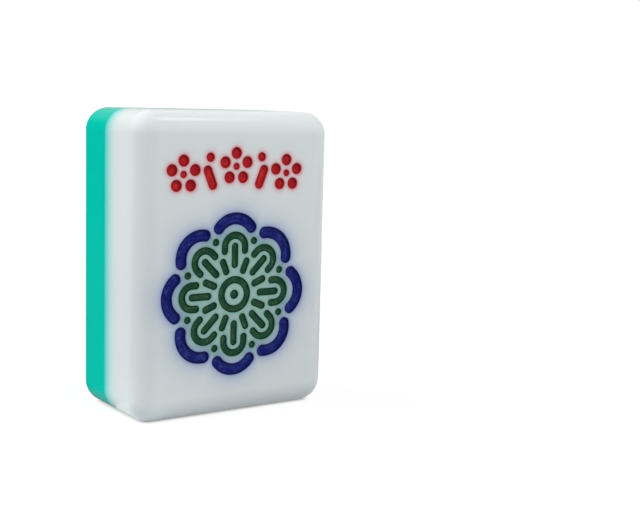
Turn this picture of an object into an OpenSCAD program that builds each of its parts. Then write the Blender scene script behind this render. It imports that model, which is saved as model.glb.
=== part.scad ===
/* [Tile] */
// Width across the face
tile_w = 22; // [21.5:0.5:26]
// Height of the tile as it stands
tile_h = 30; // [29:0.5:40]
// Thickness of the white layer that carries the engraving
front_d = 7.2; // [4:0.1:10]
// Thickness of the green layer bonded behind it
back_d = 6.1; // [4:0.1:10]
// Radius of the tumbled edges and corners
edge_r = 2.3; // [1:0.1:2.7]

/* [Engraving] */
// Sideways place of the engraving, which sits a little left of the middle
mark_x = -0.5; // [-0.6:0.1:0.6]
// Height of the medallion's centre above the bottom end
medallion_z = 12.15; // [11.5:0.05:13]
// Depth of a groove as a share of its width, just short of the ball-nosed cutter's radius
depth_share = 0.45; // [0.3:0.01:0.48]
// How far below the face the rim of each enamel fill lies
fill_drop = 0.05; // [0.02:0.01:0.1]
// Depth that the enamel sinks in the middle as it dries, as a share of the groove's width
sink_share = 0.18; // [0.05:0.01:0.3]

/* [Medallion border] */
// Reach of the border's outer edge from the medallion's centre
border_reach = 8.1; // [7.9:0.05:8.2]
// Width of the border's grooves
border_stroke = 1.2; // [0.9:0.05:1.3]
// Radius of one lobe of the border, along the middle of its groove
lobe_r = 2.3; // [2.1:0.05:2.35]

/* [Rosette] */
// Width of the rosette's grooves
rosette_stroke = 0.75; // [0.5:0.05:0.8]
// Radius of each arch, along the middle of its groove
arch_r = 1.15; // [1.1:0.05:1.2]
// Distance of the arches' centres from the medallion's centre
arch_reach = 4.7; // [4.6:0.05:4.8]
// Length of the straight legs on which each arch stands
arch_leg = 0.4; // [0.1:0.05:0.45]
// Distance of the tip dots from the medallion's centre
tip_reach = 5.65; // [5.55:0.05:5.75]
// Distance at which the stamen strokes start
stamen_start = 2.95; // [2.9:0.05:3.6]
// Distance at which the stamen strokes end
stamen_end = 4.75; // [4.2:0.05:4.8]
// Distance at which the spokes start
spoke_start = 2.5; // [2.45:0.05:2.8]
// Distance at which the spokes end
spoke_end = 3.5; // [3.2:0.05:3.55]
// Radius of the hub's ring, along the middle of its groove
hub_r = 1.45; // [1.2:0.05:1.5]
// Diameter of the dot in the hub
hub_dot_d = 0.95; // [0.6:0.05:1]

/* [Blossom row] */
// Height of the outer blossoms' centres above the bottom end
row_z = 24; // [23:0.1:25]
// How much higher the middle blossom sits than the outer ones
row_rise = 0.7; // [0:0.1:1]
// Distance between neighbouring blossoms
blossom_pitch = 5.8; // [5.7:0.1:6.1]
// Distance of the petal dots from the blossom's centre
petal_reach = 1.3; // [1.25:0.05:1.4]
// Diameter of each petal dot
petal_d = 1.15; // [0.8:0.05:1.25]
// Diameter of the blossom's centre dot
eye_d = 0.7; // [0.4:0.05:0.85]
// Width of the leaf strokes
leaf_stroke = 0.95; // [0.7:0.05:1]
// Length of each leaf stroke between the centres of its round ends
leaf_run = 1.5; // [0.8:0.1:1.6]
// Lean of the leaf strokes from the upright
leaf_lean = 22; // [0:1:35]
// Drop of the leaf strokes' middles below the line of the blossoms
leaf_drop = 0.7; // [0.6:0.05:0.9]
// Diameter of the bud above each leaf
bud_d = 0.9; // [0.5:0.05:1]
// Height of the buds above the line of the blossoms
bud_rise = 1.25; // [1.15:0.05:1.5]

/* [Hidden] */
$fn = 64;
lobes = 8;
petals = 5;
turn = 360;
right_angle = 90;
lobe_turn = turn / lobes;
tile_d = front_d + back_d;
face_y = -tile_d / 2;
half_flat_w = tile_w / 2 - edge_r;
flat_h = tile_h - 2 * edge_r;
lobe_reach = border_reach - border_stroke / 2 - lobe_r;
// Half of the angle that each lobe spans, which is that of a triangle with sides of 3, 4 and 5
lobe_half_span = atan(4 / 3);
row_side_names = ["left", "middle", "right"];
leaf_side_names = ["left", "right"];

function loop_names(stem) = [for (i = [1 : lobes]) str(stem, "_", i)];
function side_names(stem, sides) = [for (side = sides) str(stem, "_", side)];

WHITE = [0.87, 0.9, 0.9];
GREEN = [0.05, 0.72, 0.63];
BLUE = [0.13, 0.11, 0.45];
DARK_GREEN = [0.13, 0.28, 0.2];
RED = [0.72, 0.13, 0.17];

// Outline of one layer cut across an edge: x runs out from the flat's border, y in from the outer face
module edge_profile(depth) {
    translate([0, edge_r]) square([edge_r, depth - edge_r]);
    intersection() {
        translate([0, edge_r]) circle(r = edge_r);
        square([edge_r, edge_r]);
    }
}

// One layer of the block, its outer face on z = 0 with rounded edges, its bonding face flat at the given depth
module layer(depth) {
    translate([-half_flat_w, edge_r, 0]) cube([2 * half_flat_w, flat_h, depth]);
    for (side = [0, 1]) mirror([side, 0, 0]) {
        translate([half_flat_w, tile_h - edge_r, 0])
            rotate([right_angle, 0, 0]) linear_extrude(flat_h) edge_profile(depth);
        translate([half_flat_w, tile_h - edge_r, 0])
            rotate_extrude(angle = right_angle) edge_profile(depth);
        translate([half_flat_w, edge_r, 0])
            rotate([0, 0, -right_angle]) rotate_extrude(angle = right_angle) edge_profile(depth);
    }
    translate([-half_flat_w, tile_h - edge_r, 0])
        rotate([right_angle, 0, right_angle]) linear_extrude(2 * half_flat_w) edge_profile(depth);
    translate([half_flat_w, edge_r, 0])
        rotate([right_angle, 0, -right_angle]) linear_extrude(2 * half_flat_w) edge_profile(depth);
}

// Radius of an arc that is given by half of its chord and by its height
function arc_radius(half_chord, height) = (pow(half_chord, 2) + pow(height, 2)) / (2 * height);

function groove_depth(stroke) = depth_share * stroke;
function cutter_r(stroke) = arc_radius(stroke / 2, groove_depth(stroke));
function cutter_lift(stroke) = cutter_r(stroke) - groove_depth(stroke);

// Cross-section of a groove that is one stroke wide at the face: x runs across it, y out of the face.
// It is the lower half of the cutter's ball, which ends just above the face.
module groove_section(stroke) {
    translate([0, cutter_lift(stroke)]) intersection() {
        circle(r = cutter_r(stroke));
        translate([-stroke, -stroke]) square([2 * stroke, stroke]);
    }
}

// Cross-section of the enamel in a groove: it lines the groove to just below the face and has
// dried to a hollow in the middle
module fill_section(stroke) {
    half_rim = sqrt(pow(cutter_r(stroke), 2) - pow(cutter_lift(stroke) + fill_drop, 2));
    sink = sink_share * stroke;
    hollow_r = arc_radius(half_rim, sink);
    difference() {
        intersection() {
            groove_section(stroke);
            translate([-stroke, -stroke]) square([2 * stroke, stroke - fill_drop]);
        }
        translate([0, hollow_r - sink - fill_drop]) circle(r = hollow_r);
    }
}

module section(stroke, filled) {
    if (filled) fill_section(stroke);
    else groove_section(stroke);
}

// The right half of a cross-section, to be revolved
module half_section(stroke, filled) {
    intersection() {
        section(stroke, filled);
        translate([0, -stroke]) square([stroke, 2 * stroke]);
    }
}

module dot(stroke, filled) {
    rotate_extrude() half_section(stroke, filled);
}

// Half a dot, on the side of +Y
module round_end(stroke, filled) {
    rotate_extrude(angle = turn / 2) half_section(stroke, filled);
}

// A groove or fill that runs out along +X, from one reach to another
module radial_stroke(from, to, stroke, filled) {
    translate([from, 0, 0]) rotate([right_angle, 0, right_angle])
        linear_extrude(to - from) section(stroke, filled);
    translate([to, 0, 0]) rotate([0, 0, -right_angle]) round_end(stroke, filled);
    translate([from, 0, 0]) rotate([0, 0, right_angle]) round_end(stroke, filled);
}

// A groove or fill along an arc whose middle is on +X, carried on by straight legs
module arc_stroke(radius, half_span, leg, stroke, filled) {
    for (side = [0, 1]) mirror([0, side, 0]) {
        rotate_extrude(angle = half_span) translate([radius, 0]) section(stroke, filled);
        rotate([0, 0, half_span]) translate([radius, 0, 0]) {
            if (leg > 0) rotate([right_angle, 0, turn / 2])
                linear_extrude(leg) section(stroke, filled);
            translate([0, leg, 0]) round_end(stroke, filled);
        }
    }
}

module ring_stroke(radius, stroke, filled) {
    rotate_extrude() translate([radius, 0]) section(stroke, filled);
}

// Turns a mark to its lobe, the first one at the top, or with between to the line before that lobe
module at_lobe(i, between = false) {
    rotate([0, 0, right_angle - lobe_turn * (i - (between ? 1.5 : 1))]) children();
}

module medallion_place() {
    translate([mark_x, medallion_z, 0]) children();
}

// Places on the row: -1 and 1 for the outer blossoms, 0 for the middle, halves for what lies between
module row_place(step) {
    translate([mark_x + step * blossom_pitch, row_z + row_rise * (1 - abs(step)), 0]) children();
}

module border_mark(i, filled) {
    medallion_place() at_lobe(i) translate([lobe_reach, 0, 0])
        arc_stroke(lobe_r, lobe_half_span, 0, border_stroke, filled);
}

module arch_mark(i, filled) {
    medallion_place() at_lobe(i) translate([arch_reach, 0, 0])
        arc_stroke(arch_r, right_angle, arch_leg, rosette_stroke, filled);
}

module tip_mark(i, filled) {
    medallion_place() at_lobe(i, between = true) translate([tip_reach, 0, 0])
        dot(rosette_stroke, filled);
}

module stamen_mark(i, filled) {
    medallion_place() at_lobe(i) radial_stroke(stamen_start, stamen_end, rosette_stroke, filled);
}

module spoke_mark(i, filled) {
    medallion_place() at_lobe(i, between = true)
        radial_stroke(spoke_start, spoke_end, rosette_stroke, filled);
}

module hub_ring_mark(filled) {
    medallion_place() ring_stroke(hub_r, rosette_stroke, filled);
}

module hub_dot_mark(filled) {
    medallion_place() dot(hub_dot_d, filled);
}

module blossom_mark(step, filled) {
    row_place(step) {
        dot(eye_d, filled);
        for (i = [1 : petals]) rotate([0, 0, right_angle + turn / petals * i])
            translate([petal_reach, 0, 0]) dot(petal_d, filled);
    }
}

module leaf_mark(side, filled) {
    row_place(side / 2) translate([0, -leaf_drop, 0]) rotate([0, 0, right_angle - side * leaf_lean])
        radial_stroke(-leaf_run / 2, leaf_run / 2, leaf_stroke, filled);
}

module bud_mark(side, filled) {
    row_place(side / 2) translate([0, bud_rise, 0]) dot(bud_d, filled);
}

// Every groove that the engraver cuts into the face
module grooves() {
    for (i = [1 : lobes]) {
        border_mark(i, false);
        arch_mark(i, false);
        tip_mark(i, false);
        stamen_mark(i, false);
        spoke_mark(i, false);
    }
    hub_ring_mark(false);
    hub_dot_mark(false);
    for (step = [-1 : 1]) blossom_mark(step, false);
    for (side = [-1, 1]) {
        leaf_mark(side, false);
        bud_mark(side, false);
    }
}

// Stands a piece that is drawn on the face, with z outwards, up in its place on the tile
module on_face() {
    translate([0, face_y, 0]) rotate([right_angle, 0, 0]) children();
}

module front_layer() {
    color(WHITE) on_face() difference() {
        mirror([0, 0, 1]) layer(front_d);
        grooves();
    }
}

module back_layer() {
    color(GREEN) translate([0, -face_y, 0]) rotate([right_angle, 0, 0]) layer(back_d);
}

module border_enamel(i) {
    color(BLUE) on_face() border_mark(i, true);
}

module arch_enamel(i) {
    color(DARK_GREEN) on_face() arch_mark(i, true);
}

module tip_enamel(i) {
    color(DARK_GREEN) on_face() tip_mark(i, true);
}

module stamen_enamel(i) {
    color(DARK_GREEN) on_face() stamen_mark(i, true);
}

module spoke_enamel(i) {
    color(DARK_GREEN) on_face() spoke_mark(i, true);
}

module hub_ring_enamel() {
    color(DARK_GREEN) on_face() hub_ring_mark(true);
}

module hub_dot_enamel() {
    color(DARK_GREEN) on_face() hub_dot_mark(true);
}

module blossom_enamel(step) {
    color(RED) on_face() blossom_mark(step, true);
}

module leaf_enamel(side) {
    color(RED) on_face() leaf_mark(side, true);
}

module bud_enamel(side) {
    color(RED) on_face() bud_mark(side, true);
}

front_layer();
back_layer();
for (i = [1 : lobes]) {
    border_enamel(i);
    arch_enamel(i);
    tip_enamel(i);
    stamen_enamel(i);
    spoke_enamel(i);
}
hub_ring_enamel();
hub_dot_enamel();
for (i = [0 : 2]) blossom_enamel(i - 1);
for (i = [0, 1]) {
    leaf_enamel(2 * i - 1);
    bud_enamel(2 * i - 1);
}
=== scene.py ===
import math

import bpy
from mathutils import Matrix, Vector


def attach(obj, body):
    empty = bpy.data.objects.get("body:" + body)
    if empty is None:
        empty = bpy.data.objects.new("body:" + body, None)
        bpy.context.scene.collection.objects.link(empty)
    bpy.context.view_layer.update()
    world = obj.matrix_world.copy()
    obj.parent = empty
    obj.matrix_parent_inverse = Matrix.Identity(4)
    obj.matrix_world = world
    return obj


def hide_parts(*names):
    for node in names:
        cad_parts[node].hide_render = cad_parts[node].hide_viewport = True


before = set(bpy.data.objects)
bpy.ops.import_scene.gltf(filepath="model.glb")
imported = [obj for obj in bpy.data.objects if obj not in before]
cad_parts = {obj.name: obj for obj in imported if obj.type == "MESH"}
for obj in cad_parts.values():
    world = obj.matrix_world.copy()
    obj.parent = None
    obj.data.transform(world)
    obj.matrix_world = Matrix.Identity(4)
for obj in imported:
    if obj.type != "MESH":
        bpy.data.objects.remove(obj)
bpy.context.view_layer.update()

# ---------------------------------------------------------------------------------------------
# The white layer. On the real tile it is a slab of cast white resin, 7.2 mm thick, with its
# front edges and corners tumbled round and polished. Every groove of the engraving is cut into
# its face with a ball-nosed cutter, before the enamel goes in.
# ---------------------------------------------------------------------------------------------

MM = 0.001
tile_width = 22 * MM
tile_height = 30 * MM
white_thickness = 7.2 * MM
green_thickness = 6.1 * MM
edge_radius = 2.3 * MM
face_place = -(white_thickness + green_thickness) / 2
bond_place = face_place + white_thickness
edge_steps = 20
# A narrow strip along each flat that keeps the light on the flat as even as on a ground surface
strip = 0.03 * MM
# Points nearer to each other than this become one
weld = 0.5e-6
# Faces that meet at a sharper turn than this keep their edge
crease = math.radians(50)


class Wire:
    """A value inside a node tree. Sums over wires are written as in plain arithmetic."""

    def __init__(self, tree, socket):
        self.tree = tree
        self.socket = socket

    def __add__(self, other):
        return work_out(self.tree, "ADD", self, other)

    def __radd__(self, other):
        return work_out(self.tree, "ADD", other, self)

    def __sub__(self, other):
        return work_out(self.tree, "SUBTRACT", self, other)

    def __rsub__(self, other):
        return work_out(self.tree, "SUBTRACT", other, self)

    def __mul__(self, other):
        return work_out(self.tree, "MULTIPLY", self, other)

    def __rmul__(self, other):
        return work_out(self.tree, "MULTIPLY", other, self)

    def __truediv__(self, other):
        return work_out(self.tree, "DIVIDE", self, other)

    def __gt__(self, other):
        return work_out(self.tree, "GREATER_THAN", self, other)

    def __lt__(self, other):
        return work_out(self.tree, "LESS_THAN", self, other)

    def __abs__(self):
        return work_out(self.tree, "ABSOLUTE", self)

    def of(self, operation, *others):
        return work_out(self.tree, operation, self, *others)

    def kept(self, low=0.0, high=1.0):
        return work_out(self.tree, "MINIMUM", work_out(self.tree, "MAXIMUM", self, low), high)


def connect(tree, value, socket):
    if isinstance(value, Wire):
        tree.links.new(value.socket, socket)
    else:
        socket.default_value = value


def work_out(tree, operation, *values):
    node = tree.nodes.new("ShaderNodeMath")
    node.operation = operation
    for value, socket in zip(values, node.inputs):
        connect(tree, value, socket)
    return Wire(tree, node.outputs[0])


def add_node(tree, kind, inputs=None, out=0, **settings):
    """Adds a node, plugs values or wires into its inputs by name, and returns one output as a wire."""
    node = tree.nodes.new(kind)
    for name, value in settings.items():
        setattr(node, name, value)
    for name, value in (inputs or {}).items():
        socket = next(s for s in node.inputs if s.enabled and s.name == name)
        for one in value if isinstance(value, list) else [value]:
            connect(tree, one, socket)
    shown = [s for s in node.outputs if s.enabled]
    return Wire(tree, shown[out] if isinstance(out, int) else node.outputs[out])


def axes(tree, vector):
    node = tree.nodes.new("ShaderNodeSeparateXYZ")
    connect(tree, vector, node.inputs[0])
    return [Wire(tree, s) for s in node.outputs]


def point(tree, x, y, z):
    return add_node(tree, "ShaderNodeCombineXYZ", {"X": x, "Y": y, "Z": z})


def new_plan(name, **sizes):
    """A geometry tree with one named input for each size, and its input wires by name."""
    tree = bpy.data.node_groups.new(name, "GeometryNodeTree")
    tree.interface.new_socket("Geometry", in_out="INPUT", socket_type="NodeSocketGeometry")
    tree.interface.new_socket("Material", in_out="INPUT", socket_type="NodeSocketMaterial")
    tree.interface.new_socket("Geometry", in_out="OUTPUT", socket_type="NodeSocketGeometry")
    for size, default in sizes.items():
        kind = "NodeSocketInt" if isinstance(default, int) else "NodeSocketFloat"
        socket = tree.interface.new_socket(size, in_out="INPUT", socket_type=kind)
        socket.default_value = default
    entry = tree.nodes.new("NodeGroupInput")
    wires = {s.name: Wire(tree, s) for s in entry.outputs if s.name}
    return tree, wires


def close_plan(tree, shape, material):
    """Ends a tree with real geometry in its material."""
    shape = add_node(tree, "GeometryNodeRealizeInstances", {"Geometry": shape})
    shape = add_node(tree, "GeometryNodeSetMaterial", {"Geometry": shape, "Material": material})
    exit_node = tree.nodes.new("NodeGroupOutput")
    tree.links.new(shape.socket, exit_node.inputs[0])


def joined(tree, *shapes):
    return add_node(tree, "GeometryNodeJoinGeometry", {"Geometry": list(shapes)})


def press(name, tree, start, material, **sizes):
    """Runs a geometry tree on a start mesh with the given sizes, and keeps the result as a plain mesh."""
    sizes["Material"] = material
    piece = bpy.data.objects.new(name, start)
    bpy.context.scene.collection.objects.link(piece)
    steps = piece.modifiers.new(name, "NODES")
    steps.node_group = tree
    for socket in tree.interface.items_tree:
        if socket.in_out == "INPUT" and socket.name in sizes:
            steps[socket.identifier] = sizes[socket.name]
    graph = bpy.context.evaluated_depsgraph_get()
    result = bpy.data.meshes.new_from_object(
        piece.evaluated_get(graph), preserve_all_data_layers=True, depsgraph=graph)
    bpy.data.objects.remove(piece)
    result.name = name
    return result


# One tree for both layers of the block: the surface of a slab whose outer face lies on z = 0
layer_plan, given = new_plan(
    "tumbled_layer", Width=tile_width, Height=tile_height, Thickness=white_thickness,
    Radius=edge_radius, Steps=edge_steps, Strip=strip, Engraved=0)
steps, radius = given["Steps"], given["Radius"]
blank = add_node(layer_plan, "GeometryNodeMeshCube", {
    "Size": point(layer_plan, 2 * steps + 3, 2 * steps + 3, steps + 2),
    "Vertices X": 2 * steps + 4, "Vertices Y": 2 * steps + 4, "Vertices Z": steps + 3})
x, y, z = axes(layer_plan, add_node(layer_plan, "GeometryNodeInputPosition"))
down = (steps + 2) / 2 - z
middle = (abs(x) < 0.1) * (abs(y) < 0.1) * (down < 0.1)
bond_side = down > steps + 1.9
blank = add_node(layer_plan, "GeometryNodeDeleteGeometry", {
    "Geometry": blank, "Selection": middle * given["Engraved"] + bond_side}, domain="FACE")


def swell(count):
    """How far a step of the rounding stands out, so that the steps turn by equal angles."""
    return (count.kept() * (math.pi / 4)).of("TANGENT") * radius


def spread(step, half):
    """Where a step of the blank starts along one way, and how far it swells out that way."""
    flat = half - radius - given["Strip"] * (abs(step) < 1)
    return step.of("SIGN") * flat, step.of("SIGN") * swell((abs(step) - 1.5) / steps)


base_x, out_x = spread(x, given["Width"] / 2)
base_y, out_y = spread(y, given["Height"] / 2)
base_z = 0 - radius - given["Strip"] * (down > steps + 0.5) - (
    given["Thickness"] - radius - given["Strip"]) * (down > steps + 1.5)
outwards = add_node(layer_plan, "ShaderNodeVectorMath", {
    "Vector": point(layer_plan, out_x, out_y, swell((steps - down) / steps))}, operation="NORMALIZE")
swollen = add_node(layer_plan, "ShaderNodeVectorMath", {
    "Vector": outwards, "Scale": radius}, operation="SCALE")
rounded = add_node(layer_plan, "GeometryNodeSetPosition", {
    "Geometry": blank, "Position": point(layer_plan, base_x, base_y, base_z), "Offset": swollen})

# The flat of the bond side closes the slab behind, and the engraved face closes it in front
count = add_node(layer_plan, "GeometryNodeInputMeshEdgeNeighbors")
open_edge = (count < 1.5) * (count > 0.5)
height = axes(layer_plan, add_node(layer_plan, "GeometryNodeInputPosition"))[2]
rim = add_node(layer_plan, "GeometryNodeMeshToCurve", {
    "Mesh": rounded, "Selection": open_edge * (height < given["Thickness"] * -0.5)})
bond_face = add_node(layer_plan, "GeometryNodeFillCurve", {"Curve": rim}, mode="NGONS")
bond_face = add_node(layer_plan, "GeometryNodeTransform", {
    "Geometry": bond_face, "Translation": point(layer_plan, 0, 0, 0 - given["Thickness"])})
bond_face = add_node(layer_plan, "GeometryNodeFlipFaces", {"Mesh": bond_face})

grooves_in = add_node(layer_plan, "GeometryNodeTransform", {
    "Geometry": given["Geometry"], "Translation": point(layer_plan, 0, given["Height"] * -0.5, 0)})
groove_edges = add_node(layer_plan, "GeometryNodeMeshToCurve", {
    "Mesh": grooves_in, "Selection": open_edge})
flat_border = add_node(layer_plan, "GeometryNodeCurvePrimitiveQuadrilateral", {
    "Width": given["Width"] - 2 * radius - 2 * given["Strip"],
    "Height": given["Height"] - 2 * radius - 2 * given["Strip"]})
face = add_node(layer_plan, "GeometryNodeFillCurve", {"Curve": joined(layer_plan, flat_border, groove_edges)})
face = add_node(layer_plan, "GeometryNodeSwitch", {
    "Switch": given["Engraved"], "True": joined(layer_plan, face, grooves_in)})
slab = add_node(layer_plan, "GeometryNodeMergeByDistance", {
    "Geometry": joined(layer_plan, rounded, bond_face, face), "Distance": weld})
slab = add_node(layer_plan, "GeometryNodeTransform", {
    "Geometry": slab, "Translation": point(layer_plan, 0, given["Height"] * 0.5, 0)})
close_plan(layer_plan, slab, given["Material"])

# The engraving, drawn on the face with x to the right, y up and z out of it
mark_x = -0.5 * MM
medallion_height = 12.15 * MM
depth_share = 0.45
rim_round = 0.03 * MM
hand_wobble = 0.02 * MM
lobes = 8
lobe_turn = 2 * math.pi / lobes

# One tree for every groove and every fill: a cross-section that runs round the outline of a mark,
# which is an arc with straight legs, a straight run, a dot or a ring
mark_plan, given = new_plan(
    "cut_along_mark", Radius=0.0, HalfSpan=0.0, Leg=0.0, Turn=0.0, Reach=0.0, Copies=1, FirstTurn=0.0,
    TurnStep=0.0, CentreX=mark_x, CentreY=medallion_height, SideSteps=2, EndSteps=12, Ring=0,
    Wobble=hand_wobble, HalfStroke=0.5 * MM)
side, end = given["SideSteps"], given["EndSteps"]
loop = 2 * side + 2 * end
rows = add_node(mark_plan, "GeometryNodeAttributeDomainSize", {"Geometry": given["Geometry"]})
grid = add_node(mark_plan, "GeometryNodeMeshGrid", {
    "Size X": loop, "Size Y": rows - 1, "Vertices X": loop + 1, "Vertices Y": rows})
x, y, _ = axes(mark_plan, add_node(mark_plan, "GeometryNodeInputPosition"))
step = x + loop / 2
row = y + (rows - 1) / 2
first_end = ((step - side) / end).kept()
second_end = ((step - 2 * side - end) / end).kept()
on_end = (first_end * (1 - first_end) + second_end * (1 - second_end)) > 0.01
grid = add_node(mark_plan, "GeometryNodeDeleteGeometry", {
    "Geometry": grid, "Selection": on_end * given["Ring"]}, domain="FACE")
share = (step / side).kept() - ((step - side - end) / side).kept()
run = (share - 0.5) * 2 * (given["Radius"] * given["HalfSpan"] + given["Leg"])
turned = (run / given["Radius"]).kept(0 - given["HalfSpan"], given["HalfSpan"])
straight = run - given["Radius"] * turned
facing = turned + (0.5 - first_end - second_end) * math.pi
section_point = add_node(mark_plan, "GeometryNodeSampleIndex", {
    "Geometry": given["Geometry"], "Value": add_node(mark_plan, "GeometryNodeInputPosition"),
    "Index": row.of("ROUND")}, data_type="FLOAT_VECTOR")
reach, height, _ = axes(mark_plan, section_point)
cosine, sine = turned.of("COSINE"), turned.of("SINE")
drawn_x = given["Radius"] * cosine - straight * sine - reach * facing.of("SINE")
drawn_y = given["Radius"] * sine + straight * cosine + reach * facing.of("COSINE")
mark = add_node(mark_plan, "GeometryNodeStoreNamedAttribute", {
    "Geometry": grid, "Name": "across", "Value": reach / given["HalfStroke"]})
mark = add_node(mark_plan, "GeometryNodeStoreNamedAttribute", {
    "Geometry": mark, "Name": "along", "Value": run / MM})
mark = add_node(mark_plan, "GeometryNodeSetPosition", {
    "Geometry": mark, "Position": point(mark_plan, drawn_x, drawn_y, height)})
mark = add_node(mark_plan, "GeometryNodeMergeByDistance", {"Geometry": mark, "Distance": weld})
mark = add_node(mark_plan, "GeometryNodeFlipFaces", {"Mesh": mark})
turn = add_node(mark_plan, "FunctionNodeEulerToRotation", {"Euler": point(mark_plan, 0, 0, given["Turn"])})
mark = add_node(mark_plan, "GeometryNodeTransform", {
    "Geometry": mark, "Translation": point(mark_plan, given["Reach"], 0, 0), "Rotation": turn})
places = add_node(mark_plan, "GeometryNodePoints", {
    "Count": given["Copies"], "Position": point(mark_plan, given["CentreX"], given["CentreY"], 0)})
number = add_node(mark_plan, "GeometryNodeInputIndex")
turn = add_node(mark_plan, "FunctionNodeEulerToRotation", {
    "Euler": point(mark_plan, 0, 0, given["FirstTurn"] + number * given["TurnStep"])})
marks = add_node(mark_plan, "GeometryNodeInstanceOnPoints", {
    "Points": places, "Instance": mark, "Rotation": turn})
marks = add_node(mark_plan, "GeometryNodeRealizeInstances", {"Geometry": marks})
x, y, _ = axes(mark_plan, add_node(mark_plan, "GeometryNodeInputPosition"))
drift = add_node(mark_plan, "ShaderNodeTexNoise", {
    "Vector": point(mark_plan, x, y, 0), "Scale": 0.7 / MM, "Detail": 1.0}, out="Color")
drift_x, drift_y = [(d - 0.5) * 2 * given["Wobble"] for d in axes(mark_plan, drift)[:2]]
marks = add_node(mark_plan, "GeometryNodeSetPosition", {
    "Geometry": marks, "Offset": point(mark_plan, drift_x, drift_y, 0)})
close_plan(mark_plan, marks, given["Material"])


def arc(centre_reach, centre_height, radius, first, last, steps):
    """Points of a cross-section along an arc, as reach from the middle of the stroke and height."""
    turns = [first + (last - first) * i / steps for i in range(steps + 1)]
    return [(centre_reach + radius * math.cos(a), centre_height + radius * math.sin(a)) for a in turns]


def cutter(stroke):
    """Radius of the cutter's ball and height of its middle above the face, for a groove this wide."""
    depth = depth_share * stroke
    radius = ((stroke / 2) ** 2 + depth ** 2) / (2 * depth)
    return radius, radius - depth


def groove_section(stroke):
    """Half a groove, from the face, over its softened rim, down to the middle of its bottom."""
    ball, lift = cutter(stroke)
    rim_reach = math.sqrt((ball + rim_round) ** 2 - (lift + rim_round) ** 2)
    lean = math.atan2(lift + rim_round, rim_reach)
    rim = arc(rim_reach, -rim_round, rim_round, math.pi / 2, math.pi - lean, 4)
    wall = arc(0, lift, ball, -lean, -math.pi / 2, 8)
    return [(rim_reach + rim_round / 3, 0)] + rim + wall[1:-1] + [(0, wall[-1][1])]


def section_mesh(points):
    mesh = bpy.data.meshes.new("section")
    mesh.from_pydata([(reach, height, 0) for reach, height in points], [], [])
    return mesh


# The medallion. A reach is how far the middle of a mark lies from the middle of the medallion
upright = math.pi / 2
between = upright + lobe_turn / 2
border_stroke = 1.2 * MM
border_reach = 8.1 * MM
lobe_radius = 2.3 * MM
lobe_reach = border_reach - border_stroke / 2 - lobe_radius
lobe_half_span = math.atan(4 / 3)
rosette_stroke = 0.75 * MM
arch_radius = 1.15 * MM
arch_reach = 4.7 * MM
arch_leg = 0.4 * MM
tip_reach = 5.65 * MM
stamen_reach = 3.85 * MM
stamen_half = 0.9 * MM
spoke_reach = 3.0 * MM
spoke_half = 0.5 * MM
hub_radius = 1.45 * MM
hub_dot = 0.95 * MM

# The row above it: blossoms on a slight arch, and in each gap a leaf stroke with a bud over it
row_height = 24 * MM
row_rise = 0.7 * MM
blossom_pitch = 5.8 * MM
petals = 5
petal_dot = 1.15 * MM
petal_reach = 1.3 * MM
eye_dot = 0.7 * MM
leaf_stroke = 0.95 * MM
leaf_half = 0.75 * MM
leaf_lean = math.radians(22)
leaf_drop = 0.7 * MM
bud_dot = 0.9 * MM
bud_rise = 1.25 * MM


def row_place(step, rise=0.0):
    """Place on the row: -1 and 1 for the outer blossoms, 0 for the middle, halves in between."""
    return {"CentreX": mark_x + step * blossom_pitch,
            "CentreY": row_height + row_rise * (1 - abs(step)) + rise}


def round_medallion(first, **sizes):
    """The sizes of a mark that is repeated eight times round the medallion."""
    return {**sizes, "Copies": lobes, "FirstTurn": first, "TurnStep": lobe_turn}


# Each mark is the width of its stroke with the sizes that differ from those of a plain dot
border_marks = [(border_stroke, round_medallion(
    upright, Radius=lobe_radius, HalfSpan=lobe_half_span, Reach=lobe_reach, SideSteps=44, EndSteps=16))]
rosette_marks = [
    (rosette_stroke, round_medallion(
        upright, Radius=arch_radius, HalfSpan=upright, Leg=arch_leg, Reach=arch_reach, SideSteps=44)),
    (rosette_stroke, round_medallion(between, Reach=tip_reach, SideSteps=1)),
    (rosette_stroke, round_medallion(
        upright, Leg=stamen_half, Turn=upright, Reach=stamen_reach, SideSteps=14)),
    (rosette_stroke, round_medallion(
        between, Leg=spoke_half, Turn=upright, Reach=spoke_reach, SideSteps=8)),
    (rosette_stroke, {
        "Radius": hub_radius, "HalfSpan": math.pi, "SideSteps": 84, "EndSteps": 1, "Ring": 1}),
    (hub_dot, {"SideSteps": 1, "EndSteps": 14})]
row_marks = []
for step in (-1, 0, 1):
    row_marks.append((eye_dot, {**row_place(step), "SideSteps": 1}))
    row_marks.append((petal_dot, {
        **row_place(step), "Reach": petal_reach, "Copies": petals, "FirstTurn": upright,
        "TurnStep": 2 * math.pi / petals, "SideSteps": 1, "EndSteps": 16}))
for side_sign in (-1, 1):
    row_marks.append((leaf_stroke, {
        **row_place(side_sign / 2, -leaf_drop), "Leg": leaf_half, "FirstTurn": -side_sign * leaf_lean,
        "SideSteps": 10, "EndSteps": 14}))
    row_marks.append((bud_dot, {
        **row_place(side_sign / 2, bud_rise), "SideSteps": 1, "EndSteps": 14}))


def cut(marks, section, material):
    """All the given marks in one mesh, each with the cross-section for the width of its stroke."""
    parts = []
    for stroke, sizes in marks:
        outline = section_mesh(section(stroke))
        mesh = press("mark", mark_plan, outline, material, HalfStroke=stroke / 2, **sizes)
        parts.append(bpy.data.objects.new("mark", mesh))
        bpy.context.scene.collection.objects.link(parts[-1])
    with bpy.context.temp_override(active_object=parts[0], selected_editable_objects=parts, object=parts[0]):
        bpy.ops.object.join()
    whole = parts[0].data
    bpy.data.objects.remove(parts[0])
    return whole


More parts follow.
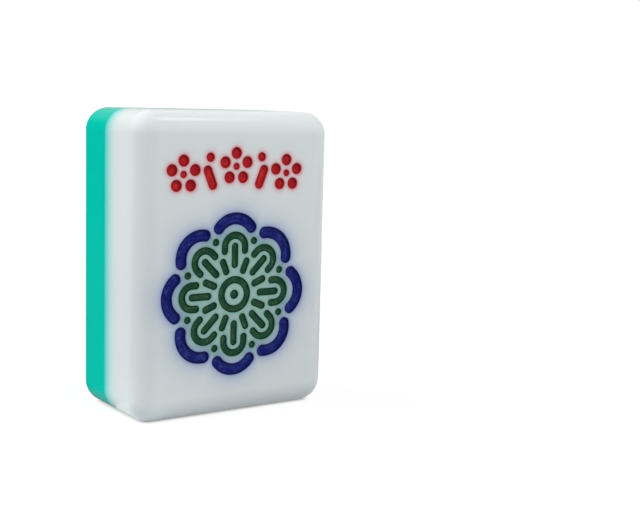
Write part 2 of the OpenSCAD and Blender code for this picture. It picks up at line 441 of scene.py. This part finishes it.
def finish_piece(name, mesh, place):
    """Stands a drawn mesh up in its place on the tile, and smooths its curved faces."""
    mesh.transform(place)
    mesh.shade_smooth()
    mesh.set_sharp_from_angle(angle=crease)
    piece = bpy.data.objects.new(name, mesh)
    bpy.context.scene.collection.objects.link(piece)
    return piece


# Everything is drawn lying on its back. This stands it up, with the drawn face to the front
on_face = Matrix.Translation((0, face_place, 0)) @ Matrix.Rotation(upright, 4, "X")


def linear(red, green, blue):
    """A colour as it is seen, from 0 to 255, as the shader takes it."""
    def lift(c):
        c = c / 255
        return c / 12.92 if c <= 0.04045 else ((c + 0.055) / 1.055) ** 2.4
    return lift(red), lift(green), lift(blue), 1.0


def new_finish(name, **sockets):
    """A material with a shader whose even values stand on its own sockets."""
    material = bpy.data.materials.new(name)
    material.use_nodes = True
    tree = material.node_tree
    shader = tree.nodes["Principled BSDF"]
    for socket, value in sockets.items():
        shader.inputs[socket.replace("_", " ")].default_value = value
    return material, tree, shader


def noise(tree, where, size, detail=2.0, rough=0.5):
    """Soft noise whose features are about this size."""
    return add_node(tree, "ShaderNodeTexNoise", {
        "Vector": where, "Scale": 1 / size, "Detail": detail, "Roughness": rough}, out="Fac")


def blend(tree, share, first, second, how="MIX"):
    return add_node(tree, "ShaderNodeMix", {"Factor": share, "A": first, "B": second},
                    data_type="RGBA", blend_type=how)


def polish(tree, shader, where):
    """The skin of tumbled resin: faint hand marks in the gloss, hair scratches and a slight ripple."""
    smooth, dull, ripple = 0.10, 0.16, 0.12
    marks = noise(tree, where, 2.5 * MM, 3.0)
    fine = noise(tree, where, 0.25 * MM, 3.0)
    gloss = ((marks - 0.4) * 2.5).kept() * 0.7 + fine * 0.3
    connect(tree, smooth + gloss * (dull - smooth), shader.inputs["Roughness"])
    stretch = add_node(tree, "ShaderNodeMapping", {
        "Vector": where, "Rotation": (0.3, 0.5, 0.7), "Scale": (1, 14, 3)})
    hair = noise(tree, stretch, 1.6 * MM, 2.0)
    scratch = (1 - abs(hair - 0.5) * 60).kept()
    wave = noise(tree, where, 3.5 * MM, 1.0)
    relief = wave * ripple + scratch * -0.02 + fine * 0.008
    bump = add_node(tree, "ShaderNodeBump", {
        "Strength": 0.5, "Distance": 0.01 * MM, "Height": relief}, out="Normal")
    tree.links.new(bump.socket, shader.inputs["Normal"])


def resin_place(tree):
    return add_node(tree, "ShaderNodeTexCoord", out="Object")


def gap_to(tree, x, y, stroke, sizes):
    """Distance of a point of the face from the outline of a mark, which is 0 inside it."""
    radius, half_span, leg = (sizes.get(size, 0.0) for size in ("Radius", "HalfSpan", "Leg"))
    half_turn = sizes.get("TurnStep", 2 * math.pi) / 2
    x, y = x - sizes.get("CentreX", mark_x), y - sizes.get("CentreY", medallion_height)
    far = (x * x + y * y).of("SQRT")
    turned = (y.of("ARCTAN2", x) - sizes.get("FirstTurn", 0.0)).of("WRAP", half_turn, -half_turn)
    x, y = far * turned.of("COSINE") - sizes.get("Reach", 0.0), far * turned.of("SINE")
    if "Turn" in sizes:
        x, y = y, 0 - x
    bend = y.of("ARCTAN2", x).kept(-half_span, half_span)
    cosine, sine = bend.of("COSINE"), bend.of("SINE")
    x, y = x - radius * cosine, y - radius * sine
    straight = (y * cosine - x * sine).kept(-leg, leg)
    x, y = x + straight * sine, y - straight * cosine
    return ((x * x + y * y).of("SQRT") - stroke / 2).kept(0.0, 1.0)


def painted_halo_by(tree, colour, place, marks, fall, strength, wide_painted_shade, near_painted_tint):
    """Resin is a little clear, so next to a groove it is painted darker and tinted: painted shade and glow.
    """
    near_fall = 0.16 * MM
    x, _, z = axes(tree, place)
    gaps = [gap_to(tree, x, z, stroke, sizes) for stroke, sizes in marks]
    total = sum((gap / -fall).of("EXPONENT") for gap in gaps)
    colour = blend(tree, 1 - (total * -strength).of("EXPONENT"), colour, wide_painted_shade, "MULTIPLY")
    nearest = gaps[0]
    for gap in gaps[1:]:
        nearest = nearest.of("MINIMUM", gap)
    return blend(tree, (nearest / -near_fall).of("EXPONENT"), colour, near_painted_tint, "MULTIPLY")


white_resin, tree, shader = new_finish(
    "white_resin", Subsurface_Weight=0.35, Subsurface_Scale=0.6 * MM, Subsurface_Radius=(1.0, 1.0, 0.95),
    IOR=1.5, Specular_IOR_Level=0.2)
where = resin_place(tree)
haze = noise(tree, where, 5 * MM, 3.0)
white = blend(tree, haze, linear(240, 245, 244), linear(236, 242, 242))
# Painted glow: the white is painted mint next to the bond, for green layer light coming back out of it
painted_glow_reach = 1.25 * MM
from_bond = bond_place - axes(tree, where)[1]
painted_green_glow = ((from_bond / painted_glow_reach).kept(0.0, 9.0).of("POWER", 1.5) * -1).of("EXPONENT")
painted_white = blend(tree, painted_green_glow, white, linear(78, 226, 212))
# Painted shade and glow round the blue, the dark green and the red enamel
painted_white = painted_halo_by(
    tree, painted_white, where, border_marks, fall=0.7 * MM, strength=1.0,
    wide_painted_shade=(0.48, 0.55, 0.78, 1), near_painted_tint=(0.60, 0.66, 1.0, 1))
painted_white = painted_halo_by(
    tree, painted_white, where, rosette_marks, fall=0.6 * MM, strength=0.8,
    wide_painted_shade=(0.36, 0.58, 0.56, 1), near_painted_tint=(0.60, 0.88, 0.68, 1))
painted_white = painted_halo_by(
    tree, painted_white, where, row_marks, fall=0.35 * MM, strength=0.4,
    wide_painted_shade=(1.0, 0.72, 0.74, 1), near_painted_tint=(1.0, 0.34, 0.38, 1))
tree.links.new(painted_white.socket, shader.inputs["Base Color"])
polish(tree, shader, where)

grooves = cut(border_marks + rosette_marks + row_marks, groove_section, white_resin)
white_mesh = press("white_layer", layer_plan, grooves, white_resin, Thickness=white_thickness, Engraved=1)
white_layer = finish_piece("white_layer", white_mesh, on_face)
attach(white_layer, "root")
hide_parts("front_layer")

# ---------------------------------------------------------------------------------------------
# The green layer. It is a slab of cast green resin, 6.1 mm thick, bonded face to face behind the
# white one, and tumbled with it, so its back edges are as round and its sides are flush.
# ---------------------------------------------------------------------------------------------

green_resin, tree, shader = new_finish(
    "green_resin", Subsurface_Weight=0.25, Subsurface_Scale=0.5 * MM, Subsurface_Radius=(0.2, 1.0, 0.9),
    IOR=1.5, Specular_IOR_Level=0.2)
where = resin_place(tree)
haze = noise(tree, where, 6 * MM, 3.0)
green = blend(tree, haze, linear(0, 212, 189), linear(0, 206, 183))
tree.links.new(green.socket, shader.inputs["Base Color"])
polish(tree, shader, where)

behind = Matrix.Rotation(math.pi, 4, "Z") @ on_face
no_grooves = bpy.data.meshes.new("no_grooves")
green_mesh = press("green_layer", layer_plan, no_grooves, green_resin, Thickness=green_thickness)
green_layer = finish_piece("green_layer", green_mesh, behind)
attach(green_layer, "root")
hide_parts("back_layer")

# ---------------------------------------------------------------------------------------------
# The blue enamel of the border. It is run into the eight lobed grooves by hand, wiped off level
# with the face and left to harden, which draws its middle down. A thin rim of painted shade runs along it.
# ---------------------------------------------------------------------------------------------

fill_drop = 0.05 * MM
sink_share = 0.18
bedding = 0.004 * MM


def enamel_section(stroke):
    """Half of a fill, from the middle of its bed, up the groove's wall, and back over its hollow top."""
    ball, lift = cutter(stroke)
    bed = ball + bedding
    rim_turn = -math.asin((lift + fill_drop) / bed)
    rim_reach = bed * math.cos(rim_turn)
    sink = sink_share * stroke
    hollow = (rim_reach ** 2 + sink ** 2) / (2 * sink)
    hollow_turn = math.atan2(sink - hollow, rim_reach)
    wall = arc(0, lift, bed, -math.pi / 2, rim_turn, 5)
    top = arc(0, hollow - sink - fill_drop, hollow, hollow_turn, -math.pi / 2, 8)
    return [(0, wall[0][1])] + wall[1:] + top[1:-1] + [(0, top[-1][1])]


def new_enamel(name, rim_shade_colour, deep_colour, thin_colour):
    """Hand-run enamel: painted darker at the rim as painted shade, streaked lighter in the middle of a
    stroke.
    """
    material, tree, shader = new_finish(name, IOR=1.5, Specular_IOR_Level=0.1)
    where = resin_place(tree)
    across = add_node(tree, "ShaderNodeAttribute", out="Fac", attribute_name="across")
    along = add_node(tree, "ShaderNodeAttribute", out="Fac", attribute_name="along")
    x, _, z = axes(tree, where)
    streak_place = point(tree, along * 0.5 + x / MM, across * 2.2, z / MM)
    streak = noise(tree, streak_place, 0.6, 3.0, 0.6)
    pool = noise(tree, where, 0.9 * MM, 2.0)
    thin = ((streak - 0.42) * 5).kept() * ((pool - 0.35) * 4).kept() * (1 - across.of("POWER", 2.0)).kept()
    body = blend(tree, thin, deep_colour, thin_colour)
    # Painted shade: the enamel darkens towards its rim, where the groove wall shades it
    rim = ((across - 0.45) / 0.4).kept()
    # Painted glints: small lighter specks over the enamel
    painted_glint = ((noise(tree, where, 0.2 * MM, 1.0) - 0.65) * 8).kept() * 0.2
    body = blend(tree, painted_glint, body, linear(170, 180, 190))
    shade = blend(tree, rim, body, rim_shade_colour)
    tree.links.new(shade.socket, shader.inputs["Base Color"])
    grit = noise(tree, where, 0.08 * MM, 2.0)
    connect(tree, 0.26 + pool * 0.16 + grit * 0.05, shader.inputs["Roughness"])
    relief = streak * 0.6 + grit * 0.12
    bump = add_node(tree, "ShaderNodeBump", {
        "Strength": 0.6, "Distance": 0.02 * MM, "Height": relief}, out="Normal")
    tree.links.new(bump.socket, shader.inputs["Normal"])
    return material


def lay_enamel(name, marks, material, nodes):
    """Fills the grooves of these marks, as one piece that stands for all of their fills in the CAD."""
    piece = finish_piece(name, cut(marks, enamel_section, material), on_face)
    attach(piece, "root")
    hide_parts(*nodes)


def numbered(stem):
    return [f"{stem}_{i}" for i in range(1, lobes + 1)]


blue_enamel = new_enamel("blue_enamel", linear(0, 4, 66), linear(20, 28, 114), linear(60, 72, 148))
lay_enamel("border_enamel", border_marks, blue_enamel, numbered("border_enamel"))

# ---------------------------------------------------------------------------------------------
# The dark green enamel of the rosette: arches on short legs, the dots between them, the strokes
# inside and between the arches, and the ring and dot of the hub. It is laid in like the blue.
# ---------------------------------------------------------------------------------------------

green_enamel = new_enamel("green_enamel", linear(0, 36, 18), linear(28, 74, 54), linear(70, 106, 68))
rosette_nodes = ["hub_ring_enamel", "hub_dot_enamel"]
for stem in ("arch_enamel", "tip_enamel", "stamen_enamel", "spoke_enamel"):
    rosette_nodes += numbered(stem)
lay_enamel("rosette_enamel", rosette_marks, green_enamel, rosette_nodes)

# ---------------------------------------------------------------------------------------------
# The red enamel of the row: three plum blossoms of five petal dots round a small one, with a
# leaf stroke and a bud in each gap. It is laid in like the blue.
# ---------------------------------------------------------------------------------------------

red_enamel = new_enamel("red_enamel", linear(150, 8, 20), linear(180, 26, 40), linear(224, 58, 44))
lay_enamel("blossom_row_enamel", row_marks, red_enamel, [
    "blossom_enamel_left", "blossom_enamel_middle", "blossom_enamel_right", "leaf_enamel_left",
    "leaf_enamel_right", "bud_enamel_left", "bud_enamel_right"])

# ---------------------------------------------------------------------------------------------
# The studio: a plain white floor that runs into a white background, a large soft lamp above on
# the left behind, a small one in front and a small one above on the right, two dark cards that
# only the polish mirrors, and the camera a little above the tile, to the left of its face.
# ---------------------------------------------------------------------------------------------

camera_data = bpy.data.cameras.new("camera")
camera_data.sensor_width = 36
camera_data.lens = 67.14
camera_data.clip_start = 0.01
camera_data.clip_end = 10
camera = bpy.data.objects.new("camera", camera_data)
bpy.context.scene.collection.objects.link(camera)
bpy.context.scene.camera = camera
# The place and angles that lay the outline of the tile over the one in the photograph
camera_place = (-61.06 * MM, -105.46 * MM, 31.64 * MM)
heading, dip, tilt = 0.6217, 0.1412, 0.0282
camera.matrix_world = (
    Matrix.Translation(camera_place)
    @ Matrix.Rotation(-heading, 4, "Z")
    @ Matrix.Rotation(upright - dip, 4, "X")
    @ Matrix.Rotation(tilt, 4, "Z"))


def seen_rays(tree):
    """1 for rays that go straight, or by a gloss or through a clear piece, to the camera."""
    path = tree.nodes.new("ShaderNodeLightPath")
    rays = [Wire(tree, path.outputs[n]) for n in ("Is Camera Ray", "Is Glossy Ray", "Is Transmission Ray")]
    return rays[0].of("MAXIMUM", rays[1]).of("MAXIMUM", rays[2])


def beside_tile(x, y):
    """How far a point of the floor lies outside the outline of the tile. Below 0 it lies under it."""
    past_x = (abs(x) - (tile_width / 2 - edge_radius)).of("MAXIMUM", 0.0)
    past_y = (abs(y) + (face_place + edge_radius)).of("MAXIMUM", 0.0)
    return (past_x * past_x + past_y * past_y).of("SQRT") - edge_radius


plain_white = (1, 1, 1, 1)
plain_black = (0, 0, 0, 1)
room_light = (0.355, 0.355, 0.36, 1)
world = bpy.data.worlds.new("studio")
bpy.context.scene.world = world
world.use_nodes = True
tree = world.node_tree
seen = seen_rays(tree)
back = tree.nodes["Background"]
tree.links.new(blend(tree, seen, room_light, plain_white).socket, back.inputs["Color"])
back.inputs["Strength"].default_value = 1.0

floor_mesh = bpy.data.meshes.new("floor")
half = 3.0
floor_mesh.from_pydata(
    [(-half, -half, 0), (half, -half, 0), (half, half, 0), (-half, half, 0)], [], [(0, 1, 2, 3)])
floor = bpy.data.objects.new("floor", floor_mesh)
bpy.context.scene.collection.objects.link(floor)
paper = bpy.data.materials.new("floor_paper")
paper.use_nodes = True
tree = paper.node_tree
tree.nodes.clear()
seen = seen_rays(tree)
x, y, _ = axes(tree, add_node(tree, "ShaderNodeTexCoord", out="Object"))
# The floor throws most light back next to the tile, and more on the side of the main light
beside = beside_tile(x, y)
near_tile = (beside.kept(0.0, 1.0) / (-4 * MM)).of("EXPONENT")
thrown = near_tile * (0.3 - ((x + 15 * MM) / (30 * MM)).kept() * 0.2) + 0.45
# Hardly any light gets in under the rounded bottom edge: a painted contact shadow draws a thin dark line
# along it
clear_of_painted_shadow = 1 - ((beside + edge_radius) / (-1.3 * MM) + 1).kept() * 0.95
bounce = blend(tree, thrown * clear_of_painted_shadow, plain_black, (0.87, 0.94, 1, 1))
plain = add_node(tree, "ShaderNodeBsdfDiffuse", {
    "Color": blend(tree, seen, bounce, (0.14, 0.14, 0.14, 1))})
far = (((x * x + y * y).of("SQRT") - 60 * MM) / (200 * MM)).kept()
bright = add_node(tree, "ShaderNodeEmission", {
    "Color": plain_white, "Strength": seen * (0.9 + far * 0.1) * clear_of_painted_shadow})
both = add_node(tree, "ShaderNodeAddShader")
for one, socket in zip((plain, bright), both.socket.node.inputs):
    tree.links.new(one.socket, socket)
output = tree.nodes.new("ShaderNodeOutputMaterial")
tree.links.new(both.socket, output.inputs["Surface"])
floor_mesh.materials.append(paper)

black_felt, tree, shader = new_finish("black_felt", Base_Color=(0.01, 0.01, 0.01, 1), Roughness=0.9)
x, y, _ = axes(tree, add_node(tree, "ShaderNodeTexCoord", out="Object"))
# The card behind the tile is thinner towards the right, and right next to the tile
behind_tile = y > 0
thin_right = (x / (60 * MM)).kept() * behind_tile * 0.6
thin_near = (0.25 - beside_tile(x, y).kept(0.0, 1.0) / (10 * MM)) * behind_tile
dense = add_node(tree, "ShaderNodeAttribute", out="Fac", attribute_name="dense")
connect(tree, dense * (1 - thin_right.of("MAXIMUM", thin_near)), shader.inputs["Alpha"])


def dark_card(name, left, right, near, far, height):
    """A card on the floor that turns up at its far side and thins out at its ends. Only gloss sees it."""
    lift = 0.3 * MM
    soft = (right - left) / 5
    columns = [(left, 0.0), (left + soft, 1.0), (right - soft, 1.0), (right, 0.0)]
    rows = [(near, lift, 1.0), (far, lift, 1.0), (far, height / 2, 1.0), (far, height, 0.0)]
    mesh = bpy.data.meshes.new(name)
    mesh.from_pydata([(x, y, z) for y, z, _ in rows for x, _ in columns], [], [
        (i, i + 1, i + 5, i + 4) for i in (0, 1, 2, 4, 5, 6, 8, 9, 10)])
    dense = mesh.attributes.new("dense", "FLOAT", "POINT")
    dense.data.foreach_set("value", [across * along for _, _, along in rows for _, across in columns])
    mesh.materials.append(black_felt)
    card = bpy.data.objects.new(name, mesh)
    bpy.context.scene.collection.objects.link(card)
    card.visible_camera = False
    card.visible_diffuse = False
    card.visible_shadow = False
    card.visible_transmission = False


# The polished faces mirror dark cards behind and before the tile, so their colours stay deep.
# The cards and the lamps are placed in metres
dark_card("back_card", left=-0.22, right=0.15, near=0.0, far=0.15, height=0.145)
dark_card("front_card", left=-0.12, right=0.55, near=-0.03, far=-0.5, height=0.27)


def soft_light(name, place, size, power, in_gloss):
    """A square lamp that points at the middle of the tile."""
    lamp = bpy.data.lights.new(name, "AREA")
    lamp.size = size
    lamp.energy = power
    holder = bpy.data.objects.new(name, lamp)
    bpy.context.scene.collection.objects.link(holder)
    holder.visible_glossy = in_gloss
    way = Vector((0, 0, tile_height / 2)) - Vector(place)
    holder.matrix_world = Matrix.Translation(place) @ way.to_track_quat("-Z", "Y").to_matrix().to_4x4()


# Only the small light on the right above shows in the polish, as a thin line along the top edge
soft_light("main_light", place=(-0.4, 0.3, 0.3), size=0.5, power=2.9, in_gloss=False)
soft_light("front_light", place=(0.02, -0.16, 0.12), size=0.08, power=0.135, in_gloss=False)
soft_light("edge_light", place=(0.21, -0.09, 0.47), size=0.12, power=0.22, in_gloss=True)

bpy.context.scene.view_settings.view_transform = "Standard"
